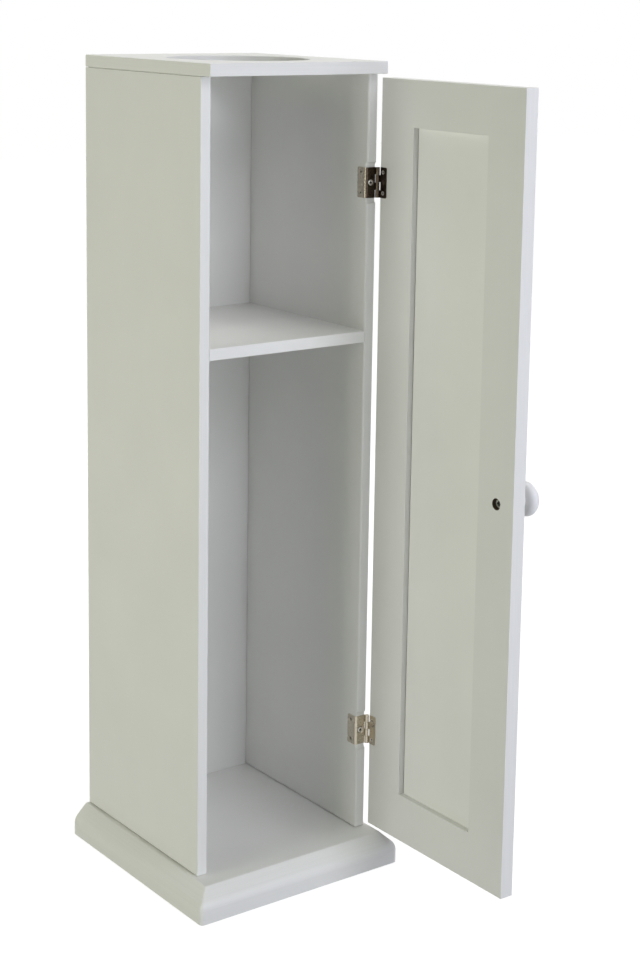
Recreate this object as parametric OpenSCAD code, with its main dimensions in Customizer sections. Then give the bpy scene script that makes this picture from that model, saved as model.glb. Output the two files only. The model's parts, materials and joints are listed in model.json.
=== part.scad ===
// Tall, narrow bathroom storage cabinet: a painted box with one shelf, a round opening in
// its top, a moulded base and a frame-and-panel door on two wrap-around butt hinges.
// Millimetres, +Z up. The origin is the middle of the base's underside. The door faces -Y
// when it is shut and is drawn a quarter turn open, hinged at the right (+X).

/* [Carcass] */
// Width over the two sides
body_w = 170; // [150:1:220]
// Depth of the sides, from their front edges to the back
body_d = 175; // [155:1:220]
// Height of the sides, from the base to the underside of the top
side_h = 644; // [560:1:760]
// Thickness of the sides
side_t = 9; // [8:0.5:12]
// Thickness of the back panel
back_t = 9; // [8:0.5:12]
// Thickness of the top
top_t = 10; // [9:0.5:16]
// How far the top stands in front of the sides
top_over = 13; // [8:0.5:20]
// Diameter of the round opening in the top
top_hole_d = 117; // [90:1:125]
// From the front edges of the sides back to the middle of the round opening
top_hole_back = 75; // [65:1:85]
// Clear height under the shelf
lower_clear = 424; // [300:1:500]
// Thickness of the shelf
shelf_t = 9.5; // [8:0.5:14]
// Rounding along the edges of the boards
edge_r = 1; // [0.5:0.1:1.5]

/* [Base] */
// Thickness of the base board
base_t = 26.5; // [22:0.5:36]
// How far the base stands out past each side
base_over_side = 15; // [15:0.5:24]
// How far the base stands in front of the sides
base_over_front = 29; // [24:0.5:40]
// How far in the routed edge reaches on the top face
base_edge_run = 14.5; // [8:0.5:15]
// Height of the upright land under the routed edge
base_edge_land = 4.5; // [2:0.5:8]
// Rounding of the base's front corners, seen from above
base_corner_r = 4; // [2:0.5:10]

/* [Door] */
// How far the door's free edge passes the left side
door_over = 1; // [0:0.5:4]
// Gap under the shut door
door_gap_bottom = 2; // [1:0.5:5]
// Gap above the shut door
door_gap_top = 3.5; // [1:0.5:6]
// Thickness of the door
door_t = 12; // [11:0.5:18]
// Width of the two stiles
stile_w = 41; // [34:0.5:50]
// Width of the top rail
rail_top_w = 38; // [28:0.5:60]
// Width of the bottom rail
rail_bottom_w = 40.5; // [28:0.5:60]
// Thickness of the panel in the door
panel_t = 4; // [3:0.5:5]
// How deep the panel lies below the door's inner face
panel_recess = 5; // [3:0.5:6]
// Depth of the grooves that hold the panel
groove_d = 6; // [4:0.5:9]
// Play of the panel in the bottom of its grooves
panel_play = 0.5; // [0.2:0.1:1]

/* [Knob] */
// Diameter of the knob's head
knob_d = 28; // [22:0.5:38]
// How far the knob stands out from the door
knob_out = 25; // [20:0.5:34]
// From the widest place of the knob to its front
knob_dome_h = 7; // [6:0.5:12]
// Rounding of the knob's rim
knob_rim_r = 5; // [3:0.5:6]
// Diameter of the knob's waist
knob_waist_d = 12; // [9:0.5:16]
// Diameter of the knob's foot on the door
knob_foot_d = 16; // [14:0.5:24]
// From the door's free edge to the middle of the knob
knob_inset = 19.5; // [15:0.5:25]
// From the door's bottom edge up to the middle of the knob
knob_up = 318; // [200:1:420]

/* [Hinges] */
// Height of a hinge
hinge_h = 25; // [20:0.5:40]
// Knuckles on a hinge, shared out between its two leaves
knuckles = 4; // [2:1:6]
// Thickness of the sheet that the leaves are bent from
leaf_t = 0.8; // [0.6:0.1:1]
// Diameter of the hinge pin
pin_d = 1.9; // [1.6:0.1:2.4]
// Running clearance around the hinge pin
pin_play = 0.05; // [0.03:0.01:0.08]
// End play between two knuckles
knuckle_gap = 0.2; // [0.1:0.05:0.4]
// How far the pin's axis stands out from the face of the right side
pin_out = 1.6; // [1.5:0.1:3]
// From an end of the door to the middle of its hinge
hinge_inset = 85; // [50:1:150]
// How far the wrap flange reaches back on the inner face of the side
wrap_reach = 12; // [10.5:0.5:18]
// How far the door leaf reaches from the pin's axis
leaf_reach = 9.7; // [9:0.1:16]
// Clearance between a leaf and the other leaf's knuckles
notch_gap = 0.6; // [0.3:0.1:1]
// Rounding of the leaves' free corners
leaf_corner_r = 1.2; // [0.5:0.1:2]
// Clear length of the recess beyond each end of a hinge
recess_margin = 1.5; // [0.5:0.5:4]
// Radius of the recess's hollow ends
recess_end_r = 3; // [2.5:0.5:6]

/* [Fasteners] */
// Diameter of the beech dowels
dowel_d = 5; // [4:0.5:6]
// How deep a dowel sits in the face of a board
dowel_face_in = 5.5; // [4:0.5:6]
// How deep a dowel sits in the end or edge of a board
dowel_edge_in = 18; // [12:1:24]
// Room between the end of a dowel and the bottom of its hole
dowel_room = 0.5; // [0.3:0.1:1]
// Clearance around a dowel or a screw
hole_play = 0.05; // [0.03:0.01:0.1]
// From the front or back edge of a board to its nearest dowel or screw
fix_inset = 30; // [22:1:45]
// From each end of the back panel to its outer dowels
back_dowel_inset = 90; // [40:1:160]
// Diameter of the base screws
base_screw_d = 3.5; // [3:0.5:4]
// Diameter of a base screw's head
base_screw_head_d = 7.5; // [6.5:0.5:9]
// How far a base screw reaches into the board above the base
base_screw_grip = 22; // [14:1:30]
// How far a base screw's head is sunk below the underside
base_screw_sink = 0.5; // [0.3:0.1:1.5]
// Diameter of the screw in the front edge of the side
edge_screw_d = 3; // [2.5:0.5:3.5]
// Diameter of that screw's head
edge_screw_head_d = 5.4; // [5:0.1:6]
// Length of that screw
edge_screw_l = 16; // [12:1:25]
// Diameter of the small hinge screws
leaf_screw_d = 2.2; // [1.8:0.1:2.6]
// Diameter of a small hinge screw's head
leaf_screw_head_d = 4.4; // [4:0.1:5]
// Distance between the two small screws of a leaf
leaf_screw_pitch = 17; // [13:0.5:18]
// Length of the small screws in the side
wrap_screw_l = 6.5; // [5:0.5:7.5]
// From the front edge of the side to its small screws
wrap_screw_back = 7.8; // [6:0.1:9]
// Length of the small screws in the door
door_screw_l = 8.5; // [6:0.5:9.5]
// From the pin's axis to the small screws in the door
door_screw_off = 5.6; // [5.2:0.1:6.5]
// Diameter of the knob's screw
knob_screw_d = 4; // [3:0.5:5]
// Diameter of that screw's head
knob_screw_head_d = 7.6; // [7:0.1:8.5]
// Height of that screw's head
knob_screw_head_h = 2.4; // [1.5:0.1:3]
// Diameter of the counterbore for it in the door
knob_bore_d = 9.4; // [9:0.1:12]
// Depth of that counterbore
knob_bore_depth = 5; // [3:0.5:6]
// How far the knob's screw reaches into the knob
knob_screw_grip = 12; // [8:0.5:14]

/* [Hidden] */

paint = [0.93, 0.93, 0.91];
nickel = [0.64, 0.61, 0.55];
steel = [0.74, 0.73, 0.70];
beech = [0.80, 0.66, 0.47];

// Segments of a full circle, and how far a cutter passes the face that it cuts
$fn = 64;
cut = 1;

// The base and the planes of the carcass
base_w = body_w + 2 * base_over_side;
base_d = body_d + base_over_front;
base_front = -base_d / 2;
front_y = base_front + base_over_front;
back_y = front_y + body_d;
inner_x = body_w / 2 - side_t;
inner_w = 2 * inner_x;
back_face = back_y - back_t;
top_z = base_t + side_h;
shelf_z = base_t + lower_clear;
shelf_d = back_face - front_y;
base_edge_rise = base_t - base_edge_land;
base_edge_r = (pow(base_edge_run, 2) + pow(base_edge_rise, 2)) / (2 * base_edge_run);

// The hinges: the pin's axis lies in the plane of the sides' front edges
pin_bore_r = pin_d / 2 + pin_play;
barrel_r = pin_bore_r + leaf_t;
pin_x = body_w / 2 + pin_out;
knuckle_h = hinge_h / knuckles;
notch_w = barrel_r + notch_gap;

// The door, a quarter turn open
door_w = body_w + door_over;
door_h = side_h - door_gap_bottom - door_gap_top;
door_z = base_t + door_gap_bottom;
door_face_x = pin_x + barrel_r;
door_edge_y = front_y - pin_out;
hinge_low_z = door_z + hinge_inset;
hinge_high_z = door_z + door_h - hinge_inset;
rail_l = door_w - 2 * stile_w;
knob_x = door_w - knob_inset;
knob_seat = door_t - knob_bore_depth;

// The knob's front is an arc that runs smoothly into its rim
knob_rim_at = knob_d / 2 - knob_rim_r;
knob_rim_out = knob_out - knob_dome_h;
knob_lead = knob_dome_h - knob_rim_r;
knob_dome_r = knob_rim_r + (pow(knob_rim_at, 2) + pow(knob_lead, 2)) / (2 * knob_lead);
knob_dome_a = asin(knob_rim_at / (knob_dome_r - knob_rim_r));
knob_steps = 8;
knob_foot_h = 1.5;
knob_foot_r = knob_foot_d / 2;
knob_waist_r = (knob_rim_out - knob_rim_r - knob_foot_h) / 2;

// Bevels at the ends of rods
dowel_bevel = 0.5;
pin_bevel = 0.25;
pan_bevel = 0.6;

// Shares of a screw head that its cross recess takes
cross_l = 0.62;
cross_w = 0.17;
cross_h = 0.22;

// Dowel and screw places
side_mid = body_w / 2 - side_t / 2;
back_mid = back_y - back_t / 2;
fix_y = [front_y + fix_inset, back_face - fix_inset];
mid_y = (front_y + back_face) / 2;
fix_x = [-inner_w / 4, inner_w / 4];
back_dowel_z = [base_t + back_dowel_inset, base_t + side_h / 2, top_z - back_dowel_inset];

function arc(c, r, a0, a1, n) = [for (i = [0:n]) let (a = a0 + (a1 - a0) * i / n) c + r * [cos(a), sin(a)]];

// ---- Helpers ----

// A rectangle from the origin with round corners
module round_rect(w, h, r) {
    translate([r, 0]) square([w - 2 * r, h]);
    translate([0, r]) square([w, h - 2 * r]);
    for (x = [r, w - r], y = [r, h - r]) {
        translate([x, y]) circle(r = r);
    }
}

// A board from the origin whose twelve edges are rounded
module round_board(size, r) {
    intersection() {
        linear_extrude(size.z) round_rect(size.x, size.y, r);
        translate([0, size.y, 0]) rotate([90, 0, 0]) linear_extrude(size.y) round_rect(size.x, size.z, r);
        rotate([90, 0, 90]) linear_extrude(size.x) round_rect(size.y, size.z, r);
    }
}

// A round rod along +Z with bevelled ends
module rod(d, l, bevel) {
    cylinder(d1 = d - 2 * bevel, d2 = d, h = bevel);
    translate([0, 0, bevel]) cylinder(d = d, h = l - 2 * bevel);
    translate([0, 0, l - bevel]) cylinder(d1 = d, d2 = d - 2 * bevel, h = bevel);
}

// A cross recess in a screw head of diameter head_d, cut down from z = 0
module cross_recess(head_d) {
    for (a = [0, 90]) {
        rotate([0, 0, a]) translate([-head_d * cross_l / 2, -head_d * cross_w / 2, -cut])
            cube([head_d * cross_l, head_d * cross_w, head_d * cross_h + cut]);
    }
}

// A countersunk screw that points along +Z, with the face of its head at z = 0
module countersunk_screw(d, head_d, l) {
    head_h = (head_d - d) / 2;
    difference() {
        union() {
            cylinder(d1 = head_d, d2 = d, h = head_h);
            translate([0, 0, head_h]) cylinder(d = d, h = l - head_h - d);
            translate([0, 0, l - d]) cylinder(d1 = d, d2 = d / 4, h = d);
        }
        cross_recess(head_d);
    }
}

// The hole for such a screw
module countersunk_hole(d, head_d, l) {
    wide = d + 2 * hole_play;
    wide_head = head_d + 2 * hole_play;
    translate([0, 0, -cut]) cylinder(d = wide_head, h = cut);
    cylinder(d1 = wide_head, d2 = wide, h = (head_d - d) / 2);
    cylinder(d = wide, h = l + dowel_room);
}

// A dowel along +Z across a joint at z = 0: its short part below and its long part above
module dowel() {
    translate([0, 0, -dowel_face_in]) rod(dowel_d, dowel_face_in + dowel_edge_in, dowel_bevel);
}

module dowel_hole() {
    translate([0, 0, -dowel_face_in - dowel_room])
        cylinder(d = dowel_d + 2 * hole_play, h = dowel_face_in + dowel_edge_in + 2 * dowel_room);
}

// ---- Places that two or more pieces share ----

module at_base_dowels() {
    for (p = [[-side_mid, mid_y], [side_mid, mid_y], [0, back_mid]]) {
        translate([p.x, p.y, base_t]) children();
    }
}

module at_base_screws() {
    for (x = [-side_mid, side_mid], y = fix_y) {
        translate([x, y, base_screw_sink]) children();
    }
    for (x = fix_x) {
        translate([x, back_mid, base_screw_sink]) children();
    }
}

module at_top_dowels() {
    for (x = [-side_mid, side_mid], y = fix_y) {
        translate([x, y, top_z]) rotate([180, 0, 0]) children();
    }
    for (x = fix_x) {
        translate([x, back_mid, top_z]) rotate([180, 0, 0]) children();
    }
}

module at_shelf_dowels() {
    for (s = [-1, 1], y = fix_y) {
        translate([s * inner_x, y, shelf_z + shelf_t / 2]) rotate([0, -s * 90, 0]) children();
    }
}

module at_back_dowels() {
    for (s = [-1, 1], z = back_dowel_z) {
        translate([s * inner_x, back_mid, z]) rotate([0, -s * 90, 0]) children();
    }
}

module base_screw() {
    countersunk_screw(base_screw_d, base_screw_head_d, base_t - base_screw_sink + base_screw_grip);
}

module base_screw_hole() {
    countersunk_hole(base_screw_d, base_screw_head_d, base_t - base_screw_sink + base_screw_grip);
}

// The middle of each hinge on the pin's axis
module at_hinge(z) {
    translate([pin_x, front_y, z]) children();
}

module at_hinges() {
    for (z = [hinge_low_z, hinge_high_z]) {
        at_hinge(z) children();
    }
}

// Screws of a hinge, each along its local +Z with its head's face at z = 0
module at_edge_screw() {
    translate([side_mid - pin_x, barrel_r - leaf_t, 0]) rotate([-90, 0, 0]) children();
}

module at_wrap_screws() {
    for (z = [-1, 1] * leaf_screw_pitch / 2) {
        translate([inner_x - leaf_t - pin_x, wrap_screw_back, z]) rotate([0, 90, 0]) children();
    }
}

module at_door_screws() {
    for (z = [-1, 1] * leaf_screw_pitch / 2) {
        translate([barrel_r - leaf_t, -door_screw_off, z]) rotate([0, 90, 0]) children();
    }
}

// The door's own frame: X from its hinge edge to its free edge, Y from its inner face to its
// outer face and Z up from its bottom edge
module at_door() {
    translate([door_face_x, door_edge_y, door_z]) rotate([0, 0, -90]) children();
}

module at_knob() {
    translate([knob_x, 0, knob_up]) rotate([-90, 0, 0]) children();
}

// ---- Carcass ----

// End view of the base's routed edges. Its arc is upright where it meets the land.
module base_end_view(w, round_both) {
    arc_x = w / 2 - base_edge_r;
    intersection() {
        translate([-w / 2, 0]) square([w, base_t]);
        union() {
            translate([-w / 2, 0]) square([w, base_edge_land]);
            translate([arc_x, base_edge_land]) circle(r = base_edge_r, $fn = 2 * $fn);
            translate([-w / 2 + base_edge_run, 0]) square([w - 2 * base_edge_run, base_t]);
            if (round_both) {
                translate([-arc_x, base_edge_land]) circle(r = base_edge_r, $fn = 2 * $fn);
            } else {
                translate([-w / 2, 0]) square([w / 2, base_t]);
            }
        }
    }
}

module base_outline() {
    translate([-base_w / 2, base_front]) {
        translate([0, base_corner_r]) square([base_w, base_d - base_corner_r]);
        translate([base_corner_r, 0]) square([base_w - 2 * base_corner_r, base_d]);
        for (x = [base_corner_r, base_w - base_corner_r]) {
            translate([x, base_corner_r]) circle(r = base_corner_r);
        }
    }
}

module base_board() {
    color(paint) difference() {
        intersection() {
            linear_extrude(base_t) base_outline();
            translate([0, base_d / 2, 0]) rotate([90, 0, 0])
                linear_extrude(base_d) base_end_view(base_w, true);
            translate([-base_w / 2, 0, 0]) rotate([90, 0, 90])
                linear_extrude(base_w) mirror([1, 0]) base_end_view(base_d, false);
        }
        at_base_dowels() dowel_hole();
        at_base_screws() base_screw_hole();
    }
}

// A side board, standing on the base
module side_blank() {
    translate([0, front_y, base_t]) linear_extrude(side_h) round_rect(side_t, body_d, edge_r);
}

module side_holes() {
    at_base_dowels() dowel_hole();
    at_base_screws() base_screw_hole();
    at_top_dowels() dowel_hole();
    at_shelf_dowels() dowel_hole();
    at_back_dowels() dowel_hole();
}

module side_left() {
    color(paint) difference() {
        translate([-body_w / 2, 0, 0]) side_blank();
        side_holes();
    }
}

// The shallow recess for a hinge in the front edge of the right side
module hinge_recess() {
    flat = hinge_h / 2 + recess_margin;
    translate([-side_t - pin_out - cut, -cut, -flat]) cube([side_t + 2 * cut, barrel_r + cut, 2 * flat]);
    for (z = [-flat, flat]) {
        translate([-side_t - pin_out - cut, barrel_r - recess_end_r, z])
            rotate([0, 90, 0]) cylinder(r = recess_end_r, h = side_t + 2 * cut);
    }
}

module side_right() {
    color(paint) difference() {
        translate([inner_x, 0, 0]) side_blank();
        side_holes();
        at_hinges() hinge_recess();
        at_hinges() at_edge_screw() countersunk_hole(edge_screw_d, edge_screw_head_d, edge_screw_l);
        at_hinges() at_wrap_screws() countersunk_hole(leaf_screw_d, leaf_screw_head_d, wrap_screw_l);
    }
}

module back_panel() {
    color(paint) difference() {
        translate([-inner_x, back_face, base_t]) cube([inner_w, back_t, side_h]);
        at_base_dowels() dowel_hole();
        at_base_screws() base_screw_hole();
        at_top_dowels() dowel_hole();
        at_back_dowels() dowel_hole();
    }
}

// The shelf's front edges are rounded like those of the sides
module shelf() {
    color(paint) difference() {
        translate([-inner_x, front_y, shelf_z]) rotate([90, 0, 90])
            linear_extrude(inner_w) round_rect(shelf_d, shelf_t, edge_r);
        at_shelf_dowels() dowel_hole();
    }
}

module top_panel() {
    color(paint) difference() {
        translate([-body_w / 2, front_y - top_over, top_z])
            round_board([body_w, body_d + top_over, top_t], edge_r);
        translate([0, front_y + top_hole_back, top_z - cut])
            cylinder(d = top_hole_d, h = top_t + 2 * cut, $fn = 2 * $fn);
        at_top_dowels() dowel_hole();
    }
}

// ---- Door ----

// A box of the door's own thickness, whose outer edges keep the rounding of the door
module door_member(x, z, w, h) {
    intersection() {
        round_board([door_w, door_t, door_h], edge_r);
        translate([x, -cut, z]) cube([w, door_t + 2 * cut, h]);
    }
}

// A box in the plane of the panel: a groove, a tongue or the panel itself
module panel_slab(x, z, w, h) {
    translate([x, panel_recess, z]) cube([w, panel_t, h]);
}

module door_stile_hinge() {
    color(paint) difference() {
        at_door() door_member(0, 0, stile_w, door_h);
        at_door() panel_slab(stile_w - groove_d, -cut, groove_d + cut, door_h + 2 * cut);
        at_hinges() at_door_screws() countersunk_hole(leaf_screw_d, leaf_screw_head_d, door_screw_l);
    }
}

module door_stile_knob() {
    color(paint) at_door() difference() {
        door_member(door_w - stile_w, 0, stile_w, door_h);
        panel_slab(door_w - stile_w - cut, -cut, groove_d + cut, door_h + 2 * cut);
        at_knob() {
            translate([0, 0, -cut]) cylinder(d = knob_bore_d, h = knob_bore_depth + cut);
            cylinder(d = knob_screw_d + 2 * hole_play, h = door_t + cut);
        }
    }
}

// A rail with a tongue at each end; its groove opens towards the panel
module door_rail(z, h, groove_z) {
    at_door() difference() {
        union() {
            door_member(stile_w, z, rail_l, h);
            panel_slab(stile_w - groove_d, z, door_w - 2 * (stile_w - groove_d), h);
        }
        panel_slab(-cut, groove_z, door_w + 2 * cut, groove_d + cut);
    }
}

module door_rail_top() {
    color(paint) door_rail(door_h - rail_top_w, rail_top_w, door_h - rail_top_w - cut);
}

module door_rail_bottom() {
    color(paint) door_rail(0, rail_bottom_w, rail_bottom_w - groove_d);
}

module door_panel() {
    reach = groove_d - panel_play;
    color(paint) at_door() panel_slab(
        stile_w - reach,
        rail_bottom_w - reach,
        rail_l + 2 * reach,
        door_h - rail_bottom_w - rail_top_w + 2 * reach
    );
}

// ---- Knob ----

// Half of the knob's outline: a foot, a hollow waist, the back of the head, its rim and its dome
module knob_outline() {
    waist_c = [knob_waist_d / 2 + knob_waist_r, knob_foot_h + knob_waist_r];
    dome_c = [0, knob_out - knob_dome_r];
    polygon(concat(
        [[0, 0], [knob_foot_r, 0], [knob_foot_r, knob_foot_h]],
        [for (p = arc(waist_c, knob_waist_r, 270, 90, 2 * knob_steps)) if (p.x < knob_foot_r) p],
        arc([knob_rim_at, knob_rim_out], knob_rim_r, -90, 90 - knob_dome_a, 2 * knob_steps),
        [for (p = arc(dome_c, knob_dome_r, 90 - knob_dome_a, 90, knob_steps)) if (p.x < knob_rim_at) p]
    ));
}

module knob() {
    color(paint) at_door() at_knob() translate([0, 0, door_t]) difference() {
        rotate_extrude() knob_outline();
        translate([0, 0, -cut])
            cylinder(d = knob_screw_d + 2 * hole_play, h = knob_screw_grip + dowel_room + cut);
    }
}

// A pan-head screw, in its counterbore
module knob_screw() {
    color(steel) at_door() at_knob() translate([0, 0, knob_bore_depth]) {
        difference() {
            translate([0, 0, -knob_screw_head_h])
                rod(knob_screw_head_d, knob_screw_head_h, pan_bevel);
            translate([0, 0, -knob_screw_head_h]) cross_recess(knob_screw_head_d);
        }
        cylinder(d = knob_screw_d, h = knob_seat + knob_screw_grip);
    }
}

// ---- Hinges, drawn around the middle of the pin's axis ----

// The knuckles of one leaf, every second one down from the top, first = 0 or 1
module knuckle_set(first, r, gap) {
    for (i = [first:2:knuckles - 1]) {
        translate([0, 0, hinge_h / 2 - (i + 1) * knuckle_h + gap])
            cylinder(r = r, h = knuckle_h - 2 * gap);
    }
}

// Room for the other leaf's knuckles
module knuckle_notches(first) {
    for (i = [first:2:knuckles - 1]) {
        translate([-notch_w, -notch_w, hinge_h / 2 - (i + 1) * knuckle_h])
            cube([2 * notch_w, 2 * notch_w, knuckle_h]);
    }
}

// A flat plate of w by hinge_h with round corners at its far end, lying in the XZ plane
module leaf_plate(w) {
    translate([0, leaf_t, -hinge_h / 2]) rotate([90, 0, 0]) linear_extrude(leaf_t) {
        square([w - leaf_corner_r, hinge_h]);
        translate([0, leaf_corner_r]) square([w, hinge_h - 2 * leaf_corner_r]);
        for (z = [leaf_corner_r, hinge_h - leaf_corner_r]) {
            translate([w - leaf_corner_r, z]) circle(r = leaf_corner_r);
        }
    }
}

// The cabinet leaf: knuckles, a flange on the front edge of the side and a wrap flange inside
module cabinet_leaf() {
    plate_y = barrel_r - leaf_t;
    bend_x = inner_x - leaf_t - pin_x;
    difference() {
        union() {
            difference() {
                translate([bend_x, plate_y, -hinge_h / 2]) cube([-bend_x, leaf_t, hinge_h]);
                knuckle_notches(1);
            }
            translate([bend_x, plate_y, 0]) mirror([1, -1, 0]) leaf_plate(wrap_reach - plate_y);
            knuckle_set(0, barrel_r, knuckle_gap / 2);
        }
        translate([0, 0, -hinge_h / 2 - cut]) cylinder(r = pin_bore_r, h = hinge_h + 2 * cut);
        at_edge_screw() countersunk_hole(edge_screw_d, edge_screw_head_d, leaf_t + cut);
        at_wrap_screws() countersunk_hole(leaf_screw_d, leaf_screw_head_d, leaf_t + cut);
    }
}

// The door leaf: knuckles and one flat plate against the door's inner face
module door_leaf() {
    difference() {
        union() {
            difference() {
                translate([barrel_r, 0, 0]) rotate([0, 0, -90]) mirror([0, 1, 0]) leaf_plate(leaf_reach);
                knuckle_notches(0);
            }
            knuckle_set(1, barrel_r, knuckle_gap / 2);
        }
        translate([0, 0, -hinge_h / 2 - cut]) cylinder(r = pin_bore_r, h = hinge_h + 2 * cut);
        at_door_screws() countersunk_hole(leaf_screw_d, leaf_screw_head_d, leaf_t + cut);
    }
}

module hinge_pin() {
    translate([0, 0, -hinge_h / 2]) rod(pin_d, hinge_h, pin_bevel);
}

module hinge_upper_cabinet_leaf() {
    color(nickel) at_hinge(hinge_high_z) cabinet_leaf();
}

module hinge_upper_door_leaf() {
    color(nickel) at_hinge(hinge_high_z) door_leaf();
}

module hinge_upper_pin() {
    color(steel) at_hinge(hinge_high_z) hinge_pin();
}

module hinge_lower_cabinet_leaf() {
    color(nickel) at_hinge(hinge_low_z) cabinet_leaf();
}

module hinge_lower_door_leaf() {
    color(nickel) at_hinge(hinge_low_z) door_leaf();
}

module hinge_lower_pin() {
    color(steel) at_hinge(hinge_low_z) hinge_pin();
}

// ---- Screws and dowels ----

module hinge_edge_screws() {
    color(steel) at_hinges() at_edge_screw()
        countersunk_screw(edge_screw_d, edge_screw_head_d, edge_screw_l);
}

module hinge_wrap_screws() {
    color(steel) at_hinges() at_wrap_screws()
        countersunk_screw(leaf_screw_d, leaf_screw_head_d, wrap_screw_l);
}

module hinge_door_screws() {
    color(steel) at_hinges() at_door_screws()
        countersunk_screw(leaf_screw_d, leaf_screw_head_d, door_screw_l);
}

module base_screws() {
    color(steel) at_base_screws() base_screw();
}

module base_dowels() {
    color(beech) at_base_dowels() dowel();
}

module top_dowels() {
    color(beech) at_top_dowels() dowel();
}

module shelf_dowels() {
    color(beech) at_shelf_dowels() dowel();
}

module back_dowels() {
    color(beech) at_back_dowels() dowel();
}

base_board();
side_left();
side_right();
back_panel();
shelf();
top_panel();
door_stile_hinge();
door_stile_knob();
door_rail_top();
door_rail_bottom();
door_panel();
knob();
knob_screw();
hinge_upper_cabinet_leaf();
hinge_upper_door_leaf();
hinge_upper_pin();
hinge_lower_cabinet_leaf();
hinge_lower_door_leaf();
hinge_lower_pin();
hinge_edge_screws();
hinge_wrap_screws();
hinge_door_screws();
base_screws();
base_dowels();
top_dowels();
shelf_dowels();
back_dowels();
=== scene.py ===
"""Looks of a tall, narrow bathroom storage cabinet: painted boards, a moulded base, a
frame-and-panel door with a turned knob, two wrap-around butt hinges and their screws.
Lengths are metres, in the frame's own axes: +Z up, the door hinged at +X and facing -Y when shut."""

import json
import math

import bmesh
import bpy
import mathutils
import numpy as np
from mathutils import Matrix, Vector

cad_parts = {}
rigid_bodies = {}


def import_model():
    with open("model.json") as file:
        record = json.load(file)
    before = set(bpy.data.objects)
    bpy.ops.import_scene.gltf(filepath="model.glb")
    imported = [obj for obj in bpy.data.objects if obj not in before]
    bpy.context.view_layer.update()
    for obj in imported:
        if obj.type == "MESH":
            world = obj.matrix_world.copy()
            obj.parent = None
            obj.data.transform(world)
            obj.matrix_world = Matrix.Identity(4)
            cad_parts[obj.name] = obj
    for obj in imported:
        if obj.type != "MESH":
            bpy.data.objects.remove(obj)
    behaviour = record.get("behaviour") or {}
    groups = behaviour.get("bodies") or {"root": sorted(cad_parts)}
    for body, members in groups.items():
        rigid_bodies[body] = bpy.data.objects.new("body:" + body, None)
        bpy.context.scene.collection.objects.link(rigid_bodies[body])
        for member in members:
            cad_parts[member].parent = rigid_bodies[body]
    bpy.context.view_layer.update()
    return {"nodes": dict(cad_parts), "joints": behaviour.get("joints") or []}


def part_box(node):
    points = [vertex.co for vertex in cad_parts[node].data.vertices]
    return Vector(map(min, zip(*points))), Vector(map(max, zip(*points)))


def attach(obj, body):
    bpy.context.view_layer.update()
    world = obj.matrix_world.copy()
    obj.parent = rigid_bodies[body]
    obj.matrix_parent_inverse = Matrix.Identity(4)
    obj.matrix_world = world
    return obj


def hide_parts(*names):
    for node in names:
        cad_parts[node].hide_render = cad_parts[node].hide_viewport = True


bl_info = {
    "name": "Tall Narrow Bathroom Cabinet",
    "version": (1, 0, 0),
    "blender": (4, 5, 0),
    "location": "View3D > Sidebar > Cabinet",
    "description": "Makes the boards, door, knob, hinges and screws of a painted bathroom cabinet",
    "category": "Add Mesh",
}

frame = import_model()

MM = 0.001
# Corners of a mesh that lie closer than this are one
WELD = 1e-7
# The least rounding of a section's corner, and the step between two sections at a sudden change
HAIR = 0.02 * MM
X, Y, Z = np.eye(3)

# The hinge pins' axis, and the bodies that the pieces ride on
PIN = np.array(frame["joints"][0]["pos_m"])
CABINET = frame["joints"][0]["parent"]
DOOR = frame["joints"][0]["child"]
# Shank diameters of the hinges' screws: in the side's front edge, inside the side and in the door
SHANKS = {"edge": 3.0 * MM, "wrap": 2.2 * MM, "door": 2.2 * MM}


def linear(hex_colour):
    """An sRGB colour such as "#c0ffee" as linear red, green and blue with an alpha of 1."""
    srgb = np.array([int(hex_colour[k:k + 2], 16) for k in (1, 3, 5)]) / 255
    rgb = np.where(srgb <= 0.04045, srgb / 12.92, ((srgb + 0.055) / 1.055) ** 2.4)
    return (*rgb.tolist(), 1.0)


def length(name, description, default):
    """A setting in units of length."""
    return bpy.props.FloatProperty(name=name, description=description, default=default, min=0.0,
                                   unit="LENGTH", precision=5)


def colour(name, description, default):
    """A setting that holds a colour, with an sRGB hex default."""
    return bpy.props.FloatVectorProperty(name=name, description=description, default=linear(default),
                                         size=4, min=0.0, max=1.0, subtype="COLOR")


def share(name, description, default):
    """A setting from 0 to 1."""
    return bpy.props.FloatProperty(name=name, description=description, default=default, min=0.0,
                                   max=1.0, subtype="FACTOR")


# ---- What a user would change ----


class CABINET_PG_finishes(bpy.types.PropertyGroup):
    """Colours and patterns of the finishes"""
    paint: colour("Cabinet paint", "Colour of the satin paint on the boards", "#ebebe7")
    door_paint: colour("Door paint", "Colour of the satin paint on the door's frame", "#e9e9e5")
    panel_paint: colour("Panel paint", "Colour of the same paint on the door's panel", "#f0f0ec")
    knob_paint: colour("Knob lacquer", "Colour of the lacquer on the knob", "#ececeb")
    nickel: colour("Nickel plate", "Colour of the plate on the hinges and their wrap screws", "#c6bfb0")
    nickel_dull: colour("Dulled nickel", "Colour of the plate where it has dulled", "#a79e8c")
    # Painted shade: the near-black colour laid on the upper hinge's outer faces for their dark
    # reflections
    painted_hinge_shade: colour("Hinge shade", "Colour of the upper hinge's outer faces, near black", "#483f35")
    zinc: colour("Zinc plate", "Colour of the plate on all other screws", "#d3d0c8")
    # Painted shade: the grey-black laid deep in the screws' cross recesses
    recess_shade: colour("Recess shade", "Colour of what sits in the screws' recesses", "#2a2723")
    raw_board: colour("Raw board", "Colour of the unpainted board in a bore", "#5d4c3b")
    beech: colour("Beech", "Colour of the dowels", "#c9a577")
    gloss: share("Paint roughness", "Roughness of the satin paint", 0.42)
    stipple: length("Stipple", "Width of the bumps that the paint roller leaves", 1.9 * MM)
    layer: length("Board layer", "Spacing of the streaks on a board's cut edges", 0.9 * MM)


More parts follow.
